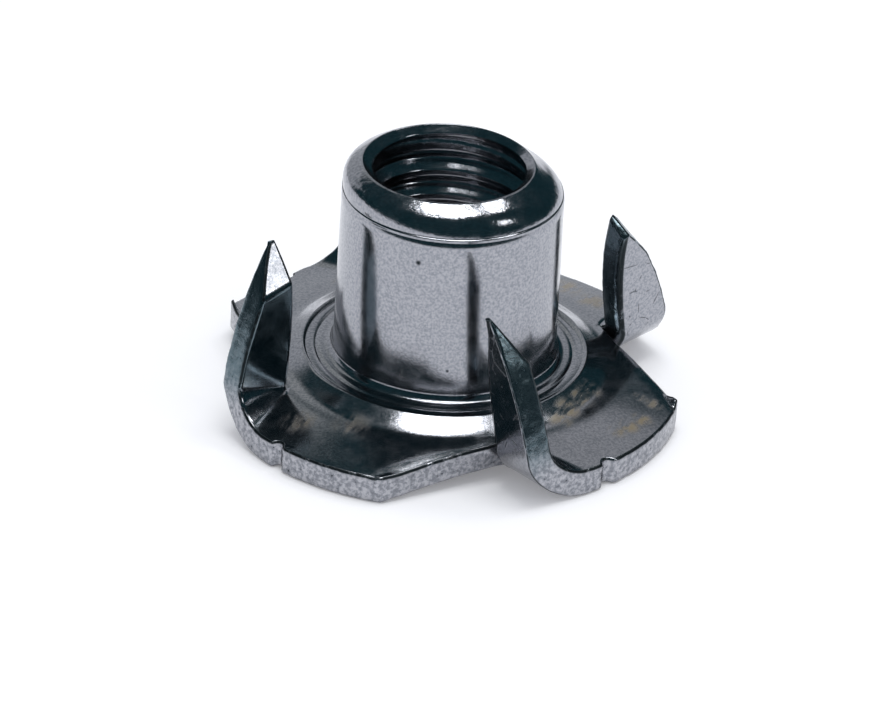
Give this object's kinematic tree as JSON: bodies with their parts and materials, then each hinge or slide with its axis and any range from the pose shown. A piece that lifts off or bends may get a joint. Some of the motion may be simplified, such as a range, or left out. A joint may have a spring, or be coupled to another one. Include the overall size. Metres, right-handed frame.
{
  "type": "tee nut",
  "caption": "Tee nut with a threaded barrel drawn up from a dished flange, whose rim is sheared and folded into prongs that bite into timber and stop the nut turning.",
  "frame": {"origin": "on the barrel's axis, in the plane that the flange's rim stands on", "axes": "+Z runs along the barrel from the flange to its mouth; X and Y lie in the plane of the rim, and the picture looks from -Y"},
  "size_m": [0.0212, 0.0212, 0.0115],
  "materials": {
    "steel": "bright plated sheet steel with sheared edges left bare"
  },
  "bodies": {
    "root": {"tee_nut": "steel"}
  },
  "joints": []
}
